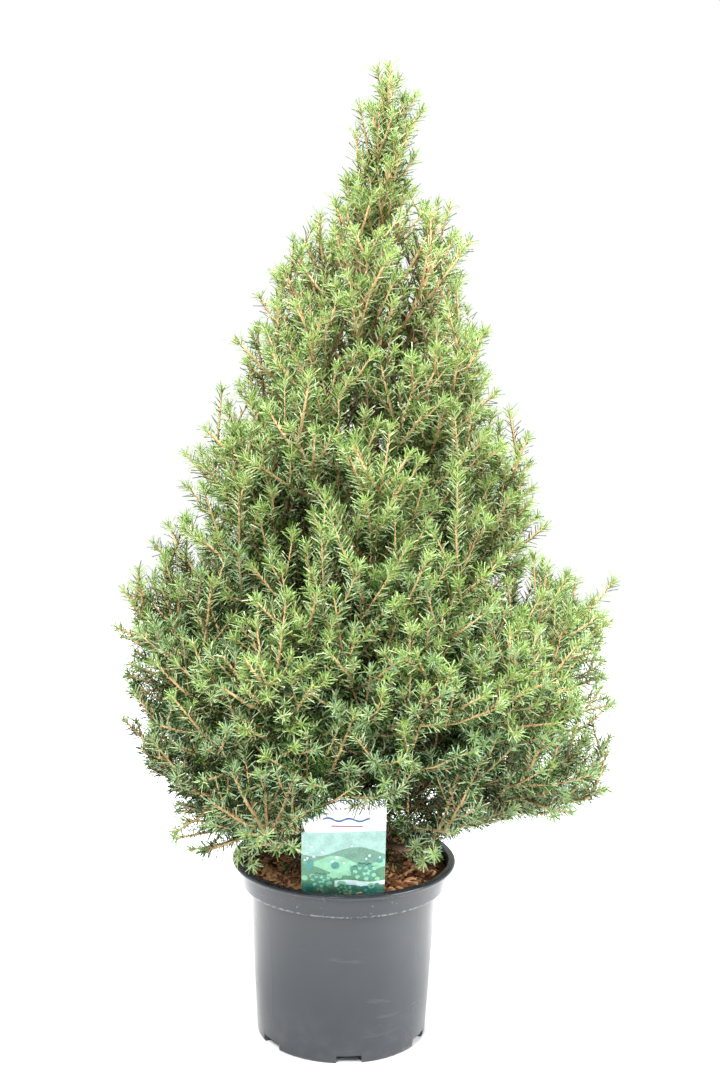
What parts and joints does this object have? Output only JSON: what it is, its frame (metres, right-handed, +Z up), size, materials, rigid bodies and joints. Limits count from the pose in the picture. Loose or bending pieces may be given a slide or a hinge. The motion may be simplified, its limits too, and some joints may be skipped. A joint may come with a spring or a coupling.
{
  "type": "potted dwarf alberta spruce",
  "caption": "Dense cone of upright short-needled conifer shoots on one trunk, growing in bark chips in a round dark nursery pot with a plain picture card.",
  "frame": {"origin": "centre of the pot's flat underside", "axes": "+Z up along the trunk, -Y towards the front where the card stands, +X to the right seen from the front"},
  "size_m": [0.4833, 0.483, 0.945],
  "materials": {
    "pot_plastic": "satin, lightly scuffed",
    "bark_chips": "rough, matte",
    "card_plastic": "semi-gloss print",
    "bark": "rough, scaly",
    "needles": "satin"
  },
  "bodies": {
    "root": {"pot": "pot_plastic", "growing_medium": "bark_chips", "label_card": "card_plastic", "trunk": "bark", "bough_skirt_1": "bark", "bough_skirt_2": "bark", "bough_skirt_3": "bark", "bough_skirt_4": "bark", "bough_skirt_5": "bark", "bough_skirt_6": "bark", "bough_skirt_7": "bark", "bough_lower_1": "bark", "bough_lower_2": "bark", "bough_lower_3": "bark", "bough_lower_4": "bark", "bough_lower_5": "bark", "bough_lower_6": "bark", "bough_middle_1": "bark", "bough_middle_2": "bark", "bough_middle_3": "bark", "bough_middle_4": "bark", "bough_middle_5": "bark", "bough_upper_1": "bark", "bough_upper_2": "bark", "bough_upper_3": "bark", "bough_upper_4": "bark", "bough_high_1": "bark", "bough_high_2": "bark", "bough_high_3": "bark", "foliage_skirt_1": "needles", "foliage_skirt_2": "needles", "foliage_skirt_3": "needles", "foliage_skirt_4": "needles", "foliage_skirt_5": "needles", "foliage_skirt_6": "needles", "foliage_skirt_7": "needles", "foliage_lower_1": "needles", "foliage_lower_2": "needles", "foliage_lower_3": "needles", "foliage_lower_4": "needles", "foliage_lower_5": "needles", "foliage_lower_6": "needles", "foliage_middle_1": "needles", "foliage_middle_2": "needles", "foliage_middle_3": "needles", "foliage_middle_4": "needles", "foliage_middle_5": "needles", "foliage_upper_1": "needles", "foliage_upper_2": "needles", "foliage_upper_3": "needles", "foliage_upper_4": "needles", "foliage_high_1": "needles", "foliage_high_2": "needles", "foliage_high_3": "needles", "foliage_summit_1": "needles", "foliage_summit_2": "needles", "foliage_summit_3": "needles", "foliage_leader": "needles"}
  },
  "joints": []
}
